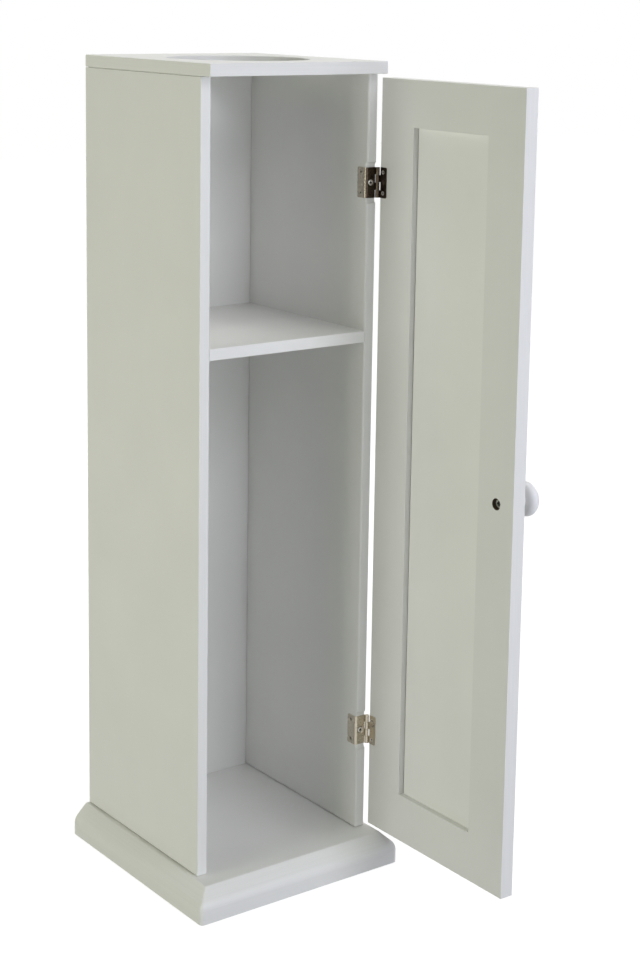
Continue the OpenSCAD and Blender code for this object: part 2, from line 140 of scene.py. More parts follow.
class CABINET_PG_boards(bpy.types.PropertyGroup):
    """Edges, joints and openings of the boards and the door"""
    edge: length("Edge rounding", "Rounding along the long edges of the boards", 0.6 * MM)
    soft_edge: length("Soft edge", "Rounding of the right side's inner front edge", 1.8 * MM)
    joint: length("Joint rounding", "Rounding at a board's end", 0.4 * MM)
    back_edge: length("Back edge", "Rounding of the back panel's upright edges", 0.9 * MM)
    panel_gap: length("Panel gap", "Width of the shadow gap round the door's panel", 0.6 * MM)
    panel_edge: length("Panel edge", "Rounding of the edges of the panel", 0.15 * MM)
    panel_tongue: length("Panel tongue", "Thickness of the panel's tongue in its grooves", 1.0 * MM)
    joint_gap: length("Joint gap", "Height of the open joint line at a side's end", 0.5 * MM)
    joint_depth: length("Joint depth", "Depth of that joint line", 2.0 * MM)
    rim: length("Rim rounding", "Rounding of the rim of the round opening", 0.8 * MM)
    opening: length("Opening", "Diameter of the round opening in the top", 117 * MM)
    opening_back: length("Opening setback", "From the sides' fronts to the opening's middle", 75 * MM)
    base_run: length("Base run", "How far in the slope of the base's routed edge reaches", 11.5 * MM)
    base_land: length("Base land", "Height at which that slope would meet the upright land", 15.3 * MM)
    base_knee: length("Base knee", "Rounding between the slope and the land", 11.0 * MM)
    base_corner: length("Base corners", "Rounding of the base's front corners, from above", 4.0 * MM)
    base_blend: length("Base blend", "Rounding between the slope and the top face", 2.1 * MM)
    base_mitre: length("Base mitre", "Rounding of the mitres in the routed edge", 1.5 * MM)
    base_arris: length("Base arris", "Rounding of the base's bottom edge", 0.7 * MM)
    recess: length("Hinge recess", "Depth of the recesses for the hinges", 1.8 * MM)
    recess_flat: length("Recess flat", "Half the flat length of a hinge recess", 14.0 * MM)
    recess_end: length("Recess ends", "Radius of the hollow ends of a recess", 3.0 * MM)
    door_edge: length("Door edge", "Rounding along the edges of the door's frame", 0.4 * MM)


class CABINET_PG_knob(bpy.types.PropertyGroup):
    """Profile of the knob and the bore behind it"""
    dome: length("Dome", "From the knob's widest place to its front", 7.0 * MM)
    rim: length("Rim", "Rounding of the knob's rim", 5.0 * MM)
    waist: length("Waist", "Diameter of the knob's waist", 12.0 * MM)
    neck: length("Neck", "Hollow between the knob's waist and the flat back of its head", 1.2 * MM)
    foot: length("Foot", "Diameter of the knob's foot", 16.0 * MM)
    foot_height: length("Foot height", "Height of the knob's foot", 1.5 * MM)
    foot_edge: length("Foot edge", "Rounding of the foot's edge at the door", 0.4 * MM)
    bore: length("Bore", "Diameter of the counterbore behind the knob", 9.4 * MM)
    bore_depth: length("Bore depth", "Depth of that counterbore", 5.0 * MM)
    screw_hole: length("Screw hole", "Diameter of the hole for the knob's screw", 4.1 * MM)


class CABINET_PG_hinges(bpy.types.PropertyGroup):
    """Sheet, bends and knuckles of the hinges"""
    sheet: length("Sheet", "Thickness of the metal sheet", 0.8 * MM)
    bend: length("Bend", "Radius at the middle of the sheet where the leaf wraps", 2.1 * MM)
    corner: length("Corners", "Rounding of the leaves' free corners", 1.2 * MM)
    cabinet_notch: length("Cabinet leaf notch", "From the pin's axis to that leaf's notches", 1.7 * MM)
    door_notch: length("Door leaf notch", "From the pin's axis to that leaf's notches", 2.4 * MM)
    play: length("Play", "Gap between two knuckles", 0.2 * MM)
    burr: length("Burr", "Bevel along the cut edges of the sheet", 0.08 * MM)
    roll: bpy.props.FloatProperty(name="Roll", description="How far a knuckle is rolled round its pin",
                                  default=math.radians(292), subtype="ANGLE")


class CABINET_PG_screws(bpy.types.PropertyGroup):
    """Heads, cross recesses and holes of the screws"""
    edge_head: length("Edge screw head", "Diameter of the large screw's head", 4.8 * MM)
    edge_sink: length("Edge screw sink", "Diameter of the countersink for the large screw", 6.4 * MM)
    edge_crown: length("Edge screw crown", "Height of the dome on the large screw's head", 0.35 * MM)
    leaf_head: length("Small screw head", "Diameter of a small screw's head", 3.6 * MM)
    leaf_sink: length("Small screw sink", "Diameter of the countersink for a small screw", 3.8 * MM)
    leaf_crown: length("Small screw crown", "Height of the dome on a small screw's head", 0.12 * MM)
    head_sink: length("Head sink", "How far a hinge screw's head lies below the sheet's face", 0.1 * MM)
    pan_crown: length("Pan screw crown", "Height of the dome on the knob screw's head", 0.5 * MM)
    pan_shank: length("Pan screw shank", "Diameter of the knob screw's shank", 4.0 * MM)
    head_play: length("Head play", "Play round the base screws in their countersinks", 0.1 * MM)
    bore_play: length("Bore play", "Play round the hinge screws in the boards", 0.15 * MM)
    slot_length: share("Cross length", "Span of the cross recess, as a share of the head", 0.62)
    slot_width: share("Cross width", "Width of the cross recess, as a share of the head", 0.18)
    slot_depth: share("Cross depth", "Depth of the cross recess, as a share of the head", 0.34)


class CABINET_PG_stage(bpy.types.PropertyGroup):
    """The camera, the light from all round and the floor"""
    camera_place: bpy.props.FloatVectorProperty(name="Camera", description="Where the camera stands",
                                                default=(-0.86757, -1.27773, 0.73615), unit="LENGTH")
    azimuth: bpy.props.FloatProperty(name="Azimuth", description="Heading, from +Y towards -X",
                                     default=math.radians(-36.690), subtype="ANGLE")
    elevation: bpy.props.FloatProperty(name="Elevation", description="How steeply the camera looks down",
                                       default=math.radians(9.436), subtype="ANGLE")
    roll: bpy.props.FloatProperty(name="Roll", description="How far the camera leans about its view",
                                  default=math.radians(0.861), subtype="ANGLE")
    focal: bpy.props.FloatProperty(name="Focal length", description="Lens, for a sensor 36 mm high",
                                   default=70.94, unit="CAMERA")
    shift: bpy.props.FloatProperty(name="Shift", description="Vertical shift, in picture heights",
                                   default=-0.18333)
    ambient: colour("Ambient", "Colour of the light from all round", "#fbfff6")
    ambient_power: bpy.props.FloatProperty(name="Ambient power", description="Strength of that light",
                                           default=0.02, min=0.0)
    floor_tone: share("Floor tone", "How much light the floor throws back at the cabinet", 0.50)
    shadow: share("Floor shadow", "How dark the cabinet's shadow is on the white floor", 0.25)


# ---- Surfaces ----


def quads_of(points, wrap=False, loop=False):
    """The quads between neighbours on a grid of points P(i, j), as an (n, 4, 3) array.
    With wrap the last column joins the first, and with loop the last row joins the first."""
    if wrap:
        points = np.concatenate([points, points[:, :1]], axis=1)
    if loop:
        points = np.concatenate([points, points[:1]])
    corners = [points[:-1, :-1], points[:-1, 1:], points[1:, 1:], points[1:, :-1]]
    return np.stack(corners, axis=2).reshape(-1, 4, 3)


def closed_ends(rings):
    """The quads of a stack of rings, closed by a fan from each end ring to its mean point."""
    first, last = (np.broadcast_to(rings[k].mean(axis=0), rings[k].shape) for k in (0, -1))
    return quads_of(np.concatenate([first[None], rings, last[None]]), wrap=True)


def quarter(steps):
    """Angles of a quarter turn, from 0 to 90 degrees."""
    return np.radians(np.linspace(0, 90, steps + 1))


def rounded_rings(low, high, radii, steps=6, side_points=1):
    """One rounded rectangle per row, anticlockwise from its (high, low) corner. Corner k is the arc
    c + r (cos t, sin t) over its quarter turn t, with c lying r inside both edges. low and high are
    (rows, 2) and radii is (rows, 4). side_points is the number of steps along each straight side."""
    right = np.array([1, 1, 0, 0])
    upper = np.array([0, 1, 1, 0])
    centre_x = np.where(right, high[:, :1] - radii, low[:, :1] + radii)
    centre_y = np.where(upper, high[:, 1:] - radii, low[:, 1:] + radii)
    t = np.radians([[-90], [0], [90], [180]]) + quarter(steps)
    arcs = np.stack([centre_x[..., None] + radii[..., None] * np.cos(t),
                     centre_y[..., None] + radii[..., None] * np.sin(t)], axis=-1)
    ends = arcs[:, :, -1:]
    starts = np.roll(arcs, -1, axis=1)[:, :, :1]
    along = np.linspace(0, 1, side_points + 1)[1:-1, None]
    sides = ends + (starts - ends) * along
    return np.concatenate([arcs, sides], axis=2).reshape(len(radii), -1, 2)


def swept_board(box, axis, radii, end=0.0, gap=(0.0, 0.0), rows=None, cut=None, steps=6):
    """A board along one axis of its box. Its section is a rounded rectangle with four corner radii r,
    and near both ends it draws in by e (1 - sin t) over a height of e (1 - cos t), with t from 0 to 90
    degrees. gap = (height, depth) steps the very ends in further, which leaves a dark joint line. rows
    are the places of further sections along the axis, and radii(s) gives the corner radii there. cut
    is a side of the section and a function of s: how far that low side lies inside the box."""
    low, high = (np.array(corner) for corner in box)
    first, second = (axis + 1) % 3, (axis + 2) % 3
    turn = quarter(steps)
    draw_in, climb = end * (1 - np.sin(turn)), gap[0] + end * (1 - np.cos(turn))
    if gap[0]:
        draw_in, climb = np.append([gap[1]] * 2, draw_in), np.append([0.0, gap[0]], climb)
    inner = np.array([] if rows is None else rows)
    place = np.concatenate([low[axis] + climb, inner, high[axis] - climb[::-1]])
    inset = np.concatenate([draw_in, np.zeros(len(inner)), draw_in[::-1]])[:, None]
    corner_radii = np.clip(radii(place) - inset, HAIR, None)
    near, far = low[[first, second]] + inset, high[[first, second]] - inset
    if cut is not None:
        near[:, cut[0]] += cut[1](place)
    section = rounded_rings(near, far, corner_radii, steps)
    rings = np.empty((len(place), section.shape[1], 3))
    rings[..., axis] = place[:, None]
    rings[..., first], rings[..., second] = section[..., 0], section[..., 1]
    return closed_ends(rings)


def even(radius):
    """The same four corner radii at every place s along a board."""
    return lambda s: np.full((len(s), 4), radius)


def revolve(profile, origin, axis, steps=64, sink=0.0):
    """A profile of (r, h) turned about an axis a through o: o + (h - sink) a + r (u cos t + v sin t).
    u and v are square to a, and sink may differ from point to point."""
    r, h = (np.asarray(profile)[:, k, None] for k in (0, 1))
    u = np.roll(np.abs(axis), 1)
    v = np.cross(axis, u)
    t = np.linspace(0, 2 * np.pi, steps, endpoint=False)
    side = r[..., None] * (np.cos(t)[None, :, None] * u + np.sin(t)[None, :, None] * v)
    rise = (h - sink) * np.ones(steps)
    return quads_of(origin + side + rise[..., None] * axis, wrap=True)


def arc(centre, radius, first, last, steps):
    """Points c + r (cos t, sin t), with t from first to last in degrees."""
    t = np.radians(np.linspace(first, last, steps + 1))
    return np.array(centre) + radius * np.stack([np.cos(t), np.sin(t)], axis=1)


def bend_along(start, heading, pieces, s, w):
    """Carries flat points (s, w) along a path: p(s) + w n(s), n being the path's left normal. The path
    starts at a point with a heading in radians, and its pieces are (length, turn) pairs. Within one of
    curvature k, p = p0 + (sin(a + k d) - sin a, cos a - cos(a + k d)) / k at a distance d."""
    place, angle = np.zeros((*s.shape, 2)), np.zeros(s.shape)
    corner, at, facing = np.array(start, float), 0.0, heading
    for run, turned in pieces:
        inside = s >= at - WELD
        d, k = s[inside] - at, turned / run
        a = facing + k * d
        if k:
            step = np.stack([np.sin(a) - np.sin(facing), np.cos(facing) - np.cos(a)], axis=-1) / k
        else:
            step = d[:, None] * [np.cos(facing), np.sin(facing)]
        place[inside], angle[inside] = corner + step, a
        corner = corner + (np.array([np.sin(facing + turned) - np.sin(facing),
                                     np.cos(facing) - np.cos(facing + turned)]) / k if k
                           else run * np.array([np.cos(facing), np.sin(facing)]))
        at, facing = at + run, facing + turned
    normal = np.stack([-np.sin(angle), np.cos(angle)], axis=-1)
    return place + w[..., None] * normal


def sheet_shell(s, z, kept, thickness, carry):
    """A thin sheet over the cells of a flat grid s by z that kept marks. Both faces, half a thickness
    to each side, and the walls along every border of the kept cells are carried to their place by
    carry(s, z, w)."""
    grid_s, grid_z = np.meshgrid(s, z, indexing="ij")
    faces = [carry(grid_s, grid_z, np.full(grid_s.shape, w)) for w in (thickness / 2, -thickness / 2)]
    quads = []
    for grid in faces:
        cells = np.stack([grid[:-1, :-1], grid[1:, :-1], grid[1:, 1:], grid[:-1, 1:]], axis=2)
        quads.append(cells[kept])
    edged = np.pad(kept, 1)
    across = edged[1:, 1:-1] != edged[:-1, 1:-1]
    along = edged[1:-1, 1:] != edged[1:-1, :-1]
    top, under = faces
    quads.append(np.stack([top[:, :-1], top[:, 1:], under[:, 1:], under[:, :-1]], axis=2)[across])
    quads.append(np.stack([top[:-1], top[1:], under[1:], under[:-1]], axis=2)[along])
    return np.concatenate(quads)


# ---- Pieces ----


def closed_mesh(name, quads):
    """A mesh of loose quads (n, 4, 3): corners that meet are welded, and every face points outwards."""
    corners = np.concatenate(quads).reshape(-1, 3)
    mesh = bpy.data.meshes.new(name)
    mesh.from_pydata(corners.tolist(), [], np.arange(len(corners)).reshape(-1, 4).tolist())
    shell = bmesh.new()
    shell.from_mesh(mesh)
    bmesh.ops.remove_doubles(shell, verts=shell.verts, dist=WELD)
    bmesh.ops.dissolve_degenerate(shell, edges=shell.edges, dist=WELD)
    bmesh.ops.recalc_face_normals(shell, faces=shell.faces)
    shell.to_mesh(mesh)
    shell.free()
    return mesh


def drill(piece, bores, lining):
    """Cuts closed shells out of a piece and lines the cut faces with a material."""
    cutter = bpy.data.objects.new("cutter", closed_mesh("cutter", bores))
    cutter.data.materials.append(lining)
    bpy.context.scene.collection.objects.link(cutter)
    cut = piece.modifiers.new("bores", "BOOLEAN")
    cut.operation, cut.solver, cut.object, cut.material_mode = "DIFFERENCE", "EXACT", cutter, "TRANSFER"
    whole = piece.evaluated_get(bpy.context.evaluated_depsgraph_get())
    piece.data = bpy.data.meshes.new_from_object(whole)
    piece.modifiers.remove(cut)
    bpy.data.objects.remove(cutter)


def new_piece(name, quads, material, body, nodes, bores=(), lining=None, bevel=0.0):
    """Adds a piece that rides on a body, takes its finish from a slot and stands for CAD nodes."""
    piece = bpy.data.objects.new(name, closed_mesh(name, quads))
    piece.data.materials.append(material)
    bpy.context.scene.collection.objects.link(piece)
    if len(bores):
        drill(piece, bores, lining)
    piece.data.shade_smooth()
    piece.data.set_sharp_from_angle(angle=math.radians(35))
    if bevel:
        edges = piece.modifiers.new("burr", "BEVEL")
        edges.width, edges.segments, edges.limit_method = bevel, 2, "ANGLE"
        edges.angle_limit = math.radians(50)
    normals = piece.modifiers.new("flat faces stay flat", "WEIGHTED_NORMAL")
    normals.keep_sharp = True
    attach(piece, body)
    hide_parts(*nodes)
    return piece


def box_of(node):
    """A node's lowest and highest corners at rest."""
    return [np.array(corner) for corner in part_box(node)]


def face(node, axis):
    """Where a node's lowest face lies on an axis."""
    return box_of(node)[0][axis]


# ---- Materials ----


def add(tree, kind, inputs=None, **settings):
    """Adds a shader node. inputs are values or output sockets by the input's name or number. In a Mix
    node, input 0 is the factor, 2 and 3 are numbers that give output 0, and 6 and 7 are colours that
    give output 2."""
    node = tree.nodes.new("ShaderNode" + kind)
    for name, value in settings.items():
        setattr(node, name, value)
    for key, value in (inputs or {}).items():
        if isinstance(value, bpy.types.NodeSocket):
            tree.links.new(value, node.inputs[key])
        else:
            node.inputs[key].default_value = value
    return node


def new_material(name):
    """An empty material, its node tree and the place on the object."""
    material = bpy.data.materials.new(name)
    material.use_nodes = True
    tree = material.node_tree
    tree.nodes.clear()
    return material, tree, add(tree, "TexCoord").outputs["Object"]


def shade(rgba, share_kept):
    """A colour at a share of its lightness."""
    return (*(part * share_kept for part in rgba[:3]), 1.0)


def painted_board(name, rgba, across):
    """Satin acrylic paint, rolled onto MDF. To the eye: an even off-white with a soft, broad sheen, the
    roller's fine stipple, and on the cut edges faint streaks, where the board's layers drank the
    paint. across is the axis through the board's thickness."""
    looks = bpy.context.scene.cabinet_finishes
    material, tree, place = new_material(name)
    spread = [1 / (70 * MM)] * 3
    spread[across] = 1 / looks.layer
    layers = add(tree, "Mapping", {"Vector": place, "Scale": spread}).outputs[0]
    streaks = add(tree, "TexNoise", {"Vector": layers, "Scale": 1.0, "Detail": 3.0}).outputs[0]
    bumps = 1 / looks.stipple
    stipple = add(tree, "TexNoise", {"Vector": place, "Scale": bumps, "Detail": 2.0}).outputs[0]
    height = add(tree, "Math", {0: stipple, 1: streaks}, operation="ADD").outputs[0]
    bump = add(tree, "Bump", {"Strength": 0.12, "Distance": 0.05 * MM, "Height": height}).outputs[0]
    tone = add(tree, "Mix", {0: streaks, 6: shade(rgba, 0.955), 7: shade(rgba, 1.035)}, data_type="RGBA")
    rough = add(tree, "Mix", {0: stipple, 2: looks.gloss - 0.05, 3: looks.gloss + 0.07})
    shader = add(tree, "BsdfPrincipled", {"Base Color": tone.outputs[2], "Roughness": rough.outputs[0],
                                          "IOR": 1.5, "Normal": bump})
    add(tree, "OutputMaterial", {"Surface": shader.outputs[0]})
    return material


def lacquered_wood(name):
    """Satin white lacquer sprayed on turned wood. To the eye: smoother and a little glossier than the
    boards, with faint turning lines round the knob's axis. They are drawn 0.9 mm apart, wider than
    the real ones, so that they show."""
    looks = bpy.context.scene.cabinet_finishes
    material, tree, place = new_material(name)
    spread = (1 / (0.9 * MM), 1 / (60 * MM), 1 / (60 * MM))
    turned = add(tree, "Mapping", {"Vector": place, "Scale": spread}).outputs[0]
    lines = add(tree, "TexNoise", {"Vector": turned, "Scale": 1.0, "Detail": 2.0}).outputs[0]
    bump = add(tree, "Bump", {"Strength": 0.10, "Distance": 0.05 * MM, "Height": lines}).outputs[0]
    rgba = tuple(looks.knob_paint)
    tone = add(tree, "Mix", {0: lines, 6: shade(rgba, 0.97), 7: shade(rgba, 1.02)}, data_type="RGBA")
    rough = add(tree, "Mix", {0: lines, 2: 0.27, 3: 0.34})
    shader = add(tree, "BsdfPrincipled", {"Base Color": tone.outputs[2], "Roughness": rough.outputs[0],
                                          "IOR": 1.5, "Normal": bump})
    add(tree, "OutputMaterial", {"Surface": shader.outputs[0]})
    return material


def nickel_plate(name):
    """Dull nickel plate on pressed steel. To the eye: a warm grey metal, mottled where it has dulled,
    with fine rolling lines up the sheet. On the upper hinge a painted shade, for the dark reflections in
    the corner by the door, turns the faces a brown near black, much less so on the flange that wraps
    round to the inside of the side board."""
    looks = bpy.context.scene.cabinet_finishes
    material, tree, place = new_material(name)
    spread = (1 / (0.25 * MM), 1 / (0.25 * MM), 1 / (5 * MM))
    rolled = add(tree, "Mapping", {"Vector": place, "Scale": spread}).outputs[0]
    lines = add(tree, "TexNoise", {"Vector": rolled, "Scale": 1.0, "Detail": 2.0}).outputs[0]
    mottle = add(tree, "TexNoise", {"Vector": place, "Scale": 1 / (3 * MM), "Detail": 4.0}).outputs[0]
    bump = add(tree, "Bump", {"Strength": 0.25, "Distance": 0.02 * MM, "Height": lines}).outputs[0]
    x, _, z = add(tree, "SeparateXYZ", {0: place}).outputs
    # The painted shade falls only on the upper hinge
    upper = add(tree, "Math", {0: z, 1: float(PIN[2])}, operation="GREATER_THAN").outputs[0]
    # The painted shade deepens round the bend, over 1 mm from just behind the wrap flange's outer face,
    # which dims the bend's highlight
    flange = face("side_right", 0) - 0.7 * MM
    outer = add(tree, "MapRange", {"Value": x, "From Min": flange, "From Max": flange + 1.0 * MM,
                                   "To Min": 0.3}).outputs[0]
    uneven = add(tree, "Mix", {0: mottle, 2: 0.75, 3: 1.35}).outputs[0]
    even = add(tree, "Math", {0: upper, 1: outer}, operation="MULTIPLY").outputs[0]
    dark = add(tree, "Math", {0: even, 1: uneven}, operation="MULTIPLY", use_clamp=True).outputs[0]
    plate = add(tree, "Mix", {0: mottle, 6: tuple(looks.nickel_dull), 7: tuple(looks.nickel)},
                data_type="RGBA").outputs[2]
    tone = add(tree, "Mix", {0: dark, 6: plate, 7: tuple(looks.painted_hinge_shade)}, data_type="RGBA")
    rough = add(tree, "Mix", {0: mottle, 2: 0.34, 3: 0.22})
    shader = add(tree, "BsdfPrincipled", {"Base Color": tone.outputs[2], "Metallic": 1.0,
                                          "Roughness": rough.outputs[0], "Normal": bump})
    add(tree, "OutputMaterial", {"Surface": shader.outputs[0]})
    return material


def screw_plate(name, axis, top, bright, dull):
    """Bright zinc plate, or the hinges' duller nickel plate, on steel screws. To the eye: a pale, shiny
    metal with a fine cloudiness, and in the cross recess a painted shade, grey-black and matt. axis is
    the screws' axis, and top is where their heads' faces lie on it."""
    looks = bpy.context.scene.cabinet_finishes
    material, tree, place = new_material(name)
    cloud = add(tree, "TexNoise", {"Vector": place, "Scale": 1 / (0.8 * MM), "Detail": 3.0}).outputs[0]
    along = add(tree, "SeparateXYZ", {0: place}).outputs[axis]
    # The painted shade begins 0.25 mm below the head's face, and from 0.6 mm down it covers the metal
    sunk = add(tree, "MapRange", {"Value": along, "From Min": top + 0.25 * MM,
                                  "From Max": top + 0.6 * MM}).outputs[0]
    plate = add(tree, "Mix", {0: cloud, 6: dull, 7: bright}, data_type="RGBA").outputs[2]
    plate_rough = add(tree, "Mix", {0: cloud, 2: 0.50, 3: 0.36}).outputs[0]
    tone = add(tree, "Mix", {0: sunk, 6: plate, 7: tuple(looks.recess_shade)}, data_type="RGBA")
    metal = add(tree, "Mix", {0: sunk, 2: 1.0, 3: 0.0})
    rough = add(tree, "Mix", {0: sunk, 2: plate_rough, 3: 0.7})
    shader = add(tree, "BsdfPrincipled", {"Base Color": tone.outputs[2], "Metallic": metal.outputs[0],
                                          "Roughness": rough.outputs[0]})
    add(tree, "OutputMaterial", {"Surface": shader.outputs[0]})
    return material


def raw_board(name):
    """Bare MDF in a drilled hole. To the eye: dark brown, matt and furry with fibres."""
    looks = bpy.context.scene.cabinet_finishes
    material, tree, place = new_material(name)
    fibre = add(tree, "TexNoise", {"Vector": place, "Scale": 1 / (0.3 * MM), "Detail": 4.0}).outputs[0]
    bump = add(tree, "Bump", {"Strength": 0.5, "Distance": 0.1 * MM, "Height": fibre}).outputs[0]
    rgba = tuple(looks.raw_board)
    tone = add(tree, "Mix", {0: fibre, 6: shade(rgba, 0.6), 7: rgba}, data_type="RGBA")
    shader = add(tree, "BsdfPrincipled", {"Base Color": tone.outputs[2], "Roughness": 0.9,
                                          "Normal": bump})
    add(tree, "OutputMaterial", {"Surface": shader.outputs[0]})
    return material


def bare_beech(name, along):
    """Bare beech dowel. To the eye: pinkish tan with short dark flecks along the grain."""
    looks = bpy.context.scene.cabinet_finishes
    material, tree, place = new_material(name)
    spread = [1 / (0.4 * MM)] * 3
    spread[along] = 1 / (8 * MM)
    grain = add(tree, "Mapping", {"Vector": place, "Scale": spread}).outputs[0]
    flecks = add(tree, "TexNoise", {"Vector": grain, "Scale": 1.0, "Detail": 3.0}).outputs[0]
    rgba = tuple(looks.beech)
    tone = add(tree, "Mix", {0: flecks, 6: shade(rgba, 0.72), 7: shade(rgba, 1.1)}, data_type="RGBA")
    shader = add(tree, "BsdfPrincipled", {"Base Color": tone.outputs[2], "Roughness": 0.6})
    add(tree, "OutputMaterial", {"Surface": shader.outputs[0]})
    return material


def finish(name):
    """The material of that name, made when it is first asked for."""
    looks = bpy.context.scene.cabinet_finishes
    paint = tuple(looks.paint)
    zinc = tuple(looks.zinc), shade(looks.zinc, 0.85)
    # The wrap screws take the hinges' nickel, cut to 0.8 of its lightness as painted shade for heads
    # sunk in the wrap flange
    nickel = shade(looks.nickel, 0.8), shade(looks.nickel_dull, 0.8)
    makers = {
        "paint on sides": (painted_board, paint, 0),
        "paint on back": (painted_board, paint, 1),
        "paint on flat boards": (painted_board, paint, 2),
        "paint on door": (painted_board, tuple(looks.door_paint), 0),
        "paint on door panel": (painted_board, tuple(looks.panel_paint), 0),
        "satin lacquer on turned wood": (lacquered_wood,),
        "dull nickel plate": (nickel_plate,),
        "zinc plate on edge screws": (screw_plate, 1, face("hinge_edge_screws", 1), *zinc),
        "nickel plate on wrap screws": (screw_plate, 0, face("hinge_wrap_screws", 0), *nickel),
        "zinc plate on door screws": (screw_plate, 0, face("hinge_door_screws", 0), *zinc),
        "zinc plate on knob screw": (screw_plate, 0, face("knob_screw", 0), *zinc),
        "zinc plate on base screws": (screw_plate, 2, face("base_screws", 2), *zinc),
        "bare MDF": (raw_board,),
        "bare beech, crosswise": (bare_beech, 0),
        "bare beech, upright": (bare_beech, 2),
    }
    maker, *traits = makers[name]
    return bpy.data.materials.get(name) or maker(name, *traits)


# ---- Operators ----


class CABINET_OT_base(bpy.types.Operator):
    """Makes the base board with its routed edge on three sides"""
    bl_idname = "cabinet.base"
    bl_label = "Base"

    def execute(self, context):
        size = context.scene.cabinet_boards
        low, high = box_of("base_board")
        thick = high[2] - low[2]
        # The slope leans in by this angle. The knee is tangent to the land and to the slope, and the
        # blend to the slope and to the top face
        lean = math.atan2(size.base_run, thick - size.base_land)
        knee_at = size.base_land - size.base_knee * math.tan(lean / 2)
        blend_in = size.base_run + size.base_blend * math.tan((math.pi / 2 - lean) / 2)
        corner = quarter(4)
        knee = np.linspace(0, lean, 13)
        blend = np.linspace(lean, math.pi / 2, 7)
        inset = np.concatenate([
            size.base_arris * (1 - np.sin(corner)),
            size.base_knee * (1 - np.cos(knee)),
            blend_in - size.base_blend * np.cos(blend),
        ])
        height = low[2] + np.concatenate([
            size.base_arris * (1 - np.cos(corner)),
            knee_at + size.base_knee * np.sin(knee),
            thick - size.base_blend * (1 - np.sin(blend)),
        ])
        back_inset = np.where(height < low[2] + size.base_arris, inset, 0.0)
        near = np.stack([low[0] + inset, low[1] + inset], axis=1)
        far = np.stack([high[0] - inset, high[1] - back_inset], axis=1)
        front = np.maximum(size.base_corner - inset, size.base_mitre)
        back = np.full(len(inset), size.joint)
        outline = rounded_rings(near, far, np.stack([front, back, back, front], axis=1), steps=8)
        level = np.broadcast_to(height[:, None, None], (*outline.shape[:2], 1))
        rings = np.concatenate([outline, level], axis=2)
        new_piece("moulded_base", [closed_ends(rings)], finish("paint on flat boards"), CABINET,
                  ["base_board"], bores=self.screw_holes(), lining=finish("bare MDF"))
        return {"FINISHED"}

    def screw_holes(self):
        """Countersunk holes around the base screws' heads: cones, with a short shaft below each."""
        play = bpy.context.scene.cabinet_screws.head_play
        holes = []
        for head, shank, place in base_screw_places():
            wide, narrow, sink = head / 2 + play, shank / 2 + play, (head - shank) / 2
            profile = [(0, -1 * MM), (wide, -1 * MM), (wide, place[2]), (narrow, place[2] + sink),
                       (narrow, place[2] + 2 * sink), (0, place[2] + 2 * sink)]
            holes.append(revolve(profile, place * [1, 1, 0], Z, steps=32))
        return holes


def base_screw_places():
    """(head diameter, shank diameter, middle of the head) of each base screw, read from the frame.
    Within 9 mm of a point on a head's rim lie all of that head and no other screw, and 5 mm above the
    head's face only its shaft is left."""
    points = np.array([v.co for v in frame["nodes"]["base_screws"].data.vertices])
    foot = points[points[:, 2] < points[:, 2].min() + 0.1 * MM]
    rims = foot[np.unique(np.round(foot[:, :2] / (12 * MM)), axis=0, return_index=True)[1]]
    places = []
    for rim in rims:
        near = points[np.hypot(*(points[:, :2] - rim[:2]).T) < 9 * MM]
        head = near[near[:, 2] < near[:, 2].min() + 0.01 * MM]
        middle = (head.min(axis=0) + head.max(axis=0)) / 2
        if not any(np.allclose(middle, place, atol=1 * MM) for _, _, place in places):
            shaft = near[near[:, 2] > middle[2] + 5 * MM]
            places.append((np.ptp(head[:, 0]), np.ptp(shaft[:, 0]), middle))
    return places


class CABINET_OT_sides(bpy.types.Operator):
    """Makes the two side boards, the right one with its recesses for the hinges"""
    bl_idname = "cabinet.sides"
    bl_label = "Sides"

    def execute(self, context):
        size = context.scene.cabinet_boards
        paint = finish("paint on sides")
        gap = (size.joint_gap, size.joint_depth)
        left = swept_board(box_of("side_left"), 2, even(size.edge), size.joint, gap)
        new_piece("left_side", [left], paint, CABINET, ["side_left"])

        pins = [box_of(f"hinge_{place}_pin") for place in ("lower", "upper")]
        middles = np.mean(pins, axis=1)[:, 2]
        reach = math.sqrt(size.recess_end ** 2 - (size.recess_end - size.recess) ** 2)

        def depth(z):
            """Flat in the middle, then at each end a hollow arc up to the board's edge."""
            past = np.abs(z[:, None] - middles).min(axis=1) - size.recess_flat
            bowl = np.sqrt(np.clip(size.recess_end ** 2 - np.clip(past, 0, None) ** 2, 0, None))
            return np.clip(bowl - (size.recess_end - size.recess), 0, None)

        def radii(z):
            """The recess cuts the outer front corner's rounding away. The inner one runs through it."""
            outer = np.clip(size.edge - depth(z), 0.1 * MM, None)
            back, inner = np.full(len(z), size.edge), np.full(len(z), size.soft_edge)
            return np.stack([outer, back, back, inner], axis=1)

        ends = size.recess_flat + reach * np.linspace(0, 1, 13)
        rows = np.sort((middles[:, None] + np.concatenate([-ends, ends])).ravel())
        right = swept_board(box_of("side_right"), 2, radii, size.joint, gap, rows, cut=(1, depth))
        new_piece("right_side", [right], paint, CABINET, ["side_right"],
                  bores=screw_bores(("edge", "wrap")), lining=finish("bare MDF"))
        return {"FINISHED"}


class CABINET_OT_back_and_shelf(bpy.types.Operator):
    """Makes the back panel and the shelf"""
    bl_idname = "cabinet.back_and_shelf"
    bl_label = "Back and shelf"

    def execute(self, context):
        size = context.scene.cabinet_boards
        back = swept_board(box_of("back_panel"), 2, even(size.back_edge), size.joint)
        new_piece("back_board", [back], finish("paint on back"), CABINET,
                  ["back_panel"])
        shelf = swept_board(box_of("shelf"), 0, even(size.edge))
        new_piece("shelf_board", [shelf], finish("paint on flat boards"), CABINET,
                  ["shelf"])
        return {"FINISHED"}


